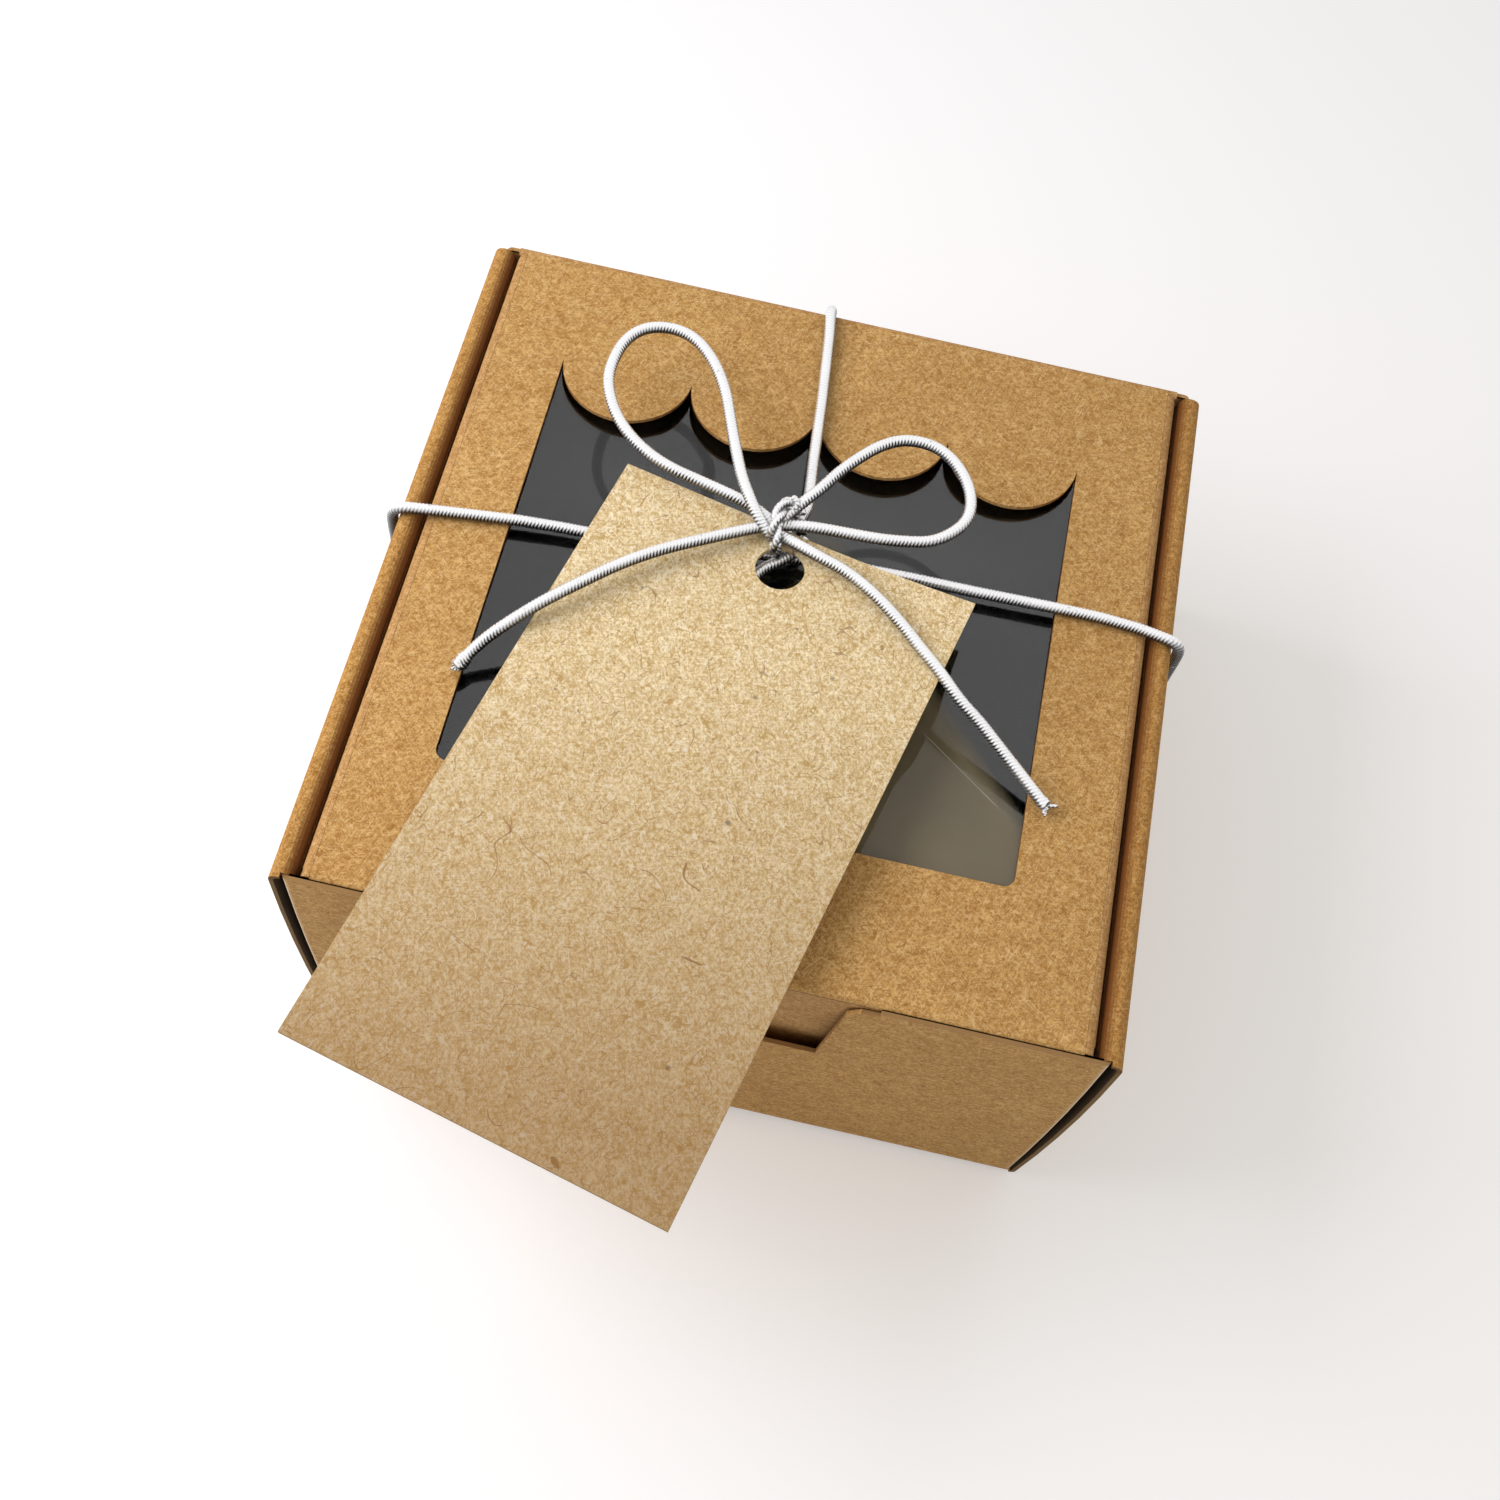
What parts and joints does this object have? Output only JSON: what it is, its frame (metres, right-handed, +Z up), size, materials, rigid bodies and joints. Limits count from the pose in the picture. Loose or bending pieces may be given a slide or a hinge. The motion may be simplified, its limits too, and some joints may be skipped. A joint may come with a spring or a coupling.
{
  "type": "gift box",
  "caption": "Small kraft-board gift box with a scalloped window in its tuck-in lid, tied with silver elastic cord in a bow that holds a blank gift tag.",
  "frame": {"origin": "middle of the base's underside", "axes": "+Z up out of the lid, +Y from the front wall to the hinged back wall, +X to the right seen from the front"},
  "size_m": [0.0828, 0.1041, 0.046],
  "materials": {
    "kraft_board": "matte kraft board",
    "kraft_lid": "matte kraft board",
    "clear_film": "clear gloss film",
    "black_foam": "matte foam",
    "silver_cord": "metallic braided elastic",
    "tag_board": "matte recycled kraft"
  },
  "bodies": {
    "carton": {"base_panel": "kraft_board", "front_wall": "kraft_board", "back_wall": "kraft_board", "left_outer_wall": "kraft_board", "right_outer_wall": "kraft_board", "left_ridge": "kraft_board", "right_ridge": "kraft_board", "left_inner_wall": "kraft_board", "right_inner_wall": "kraft_board", "front_left_corner_flap": "kraft_board", "front_right_corner_flap": "kraft_board", "back_left_corner_flap": "kraft_board", "back_right_corner_flap": "kraft_board", "foam_pad": "black_foam"},
    "lid": {"lid_panel": "kraft_lid", "lid_left_flap": "kraft_lid", "lid_right_flap": "kraft_lid", "window_film": "clear_film"},
    "tuck": {"tuck_flap": "kraft_board", "tuck_lip": "kraft_board"},
    "wrap": {"strand_over_x": "silver_cord", "strand_left": "silver_cord", "strand_right": "silver_cord", "strand_under_x": "silver_cord", "strand_over_back": "silver_cord", "strand_over_front": "silver_cord", "strand_back": "silver_cord", "strand_front": "silver_cord", "strand_under_y": "silver_cord", "bow_knot": "silver_cord", "bow_loop_left": "silver_cord", "bow_loop_right": "silver_cord", "bow_tail_left": "silver_cord", "bow_tail_right": "silver_cord", "tag_loop": "silver_cord"},
    "tag": {"gift_tag": "tag_board"}
  },
  "joints": [
    {"name": "lid_hinge", "type": "hinge", "parent": "carton", "child": "lid", "pos_m": [0, 0.03905, 0.03755], "axis": [-1, 0, 0], "range_deg": [0, 105]},
    {"name": "tuck_hinge", "type": "hinge", "parent": "lid", "child": "tuck", "pos_m": [0, -0.0385, 0.03755], "axis": [1, 0, 0], "range_deg": [0, 21]},
    {"name": "wrap_lift", "type": "slide", "parent": "carton", "child": "wrap", "axis": [0, 0, 1], "range_m": [0, 0.147], "deforming": ["strand_left", "strand_right", "strand_back", "strand_front", "strand_under_x", "strand_under_y"]},
    {"name": "tag_swivel", "type": "hinge", "parent": "wrap", "child": "tag", "pos_m": [-0.00075, 0.00315, 0.0411], "axis": [-0.0157, -0.027, 0.9995], "range_deg": [-2, 12]}
  ],
  "couplings": [
    {"joint": "tuck_hinge", "follows": "lid_hinge", "ratio": 0.2},
    {"joint": "wrap_lift", "follows": "lid_hinge", "m_per_rad": 0.08}
  ]
}
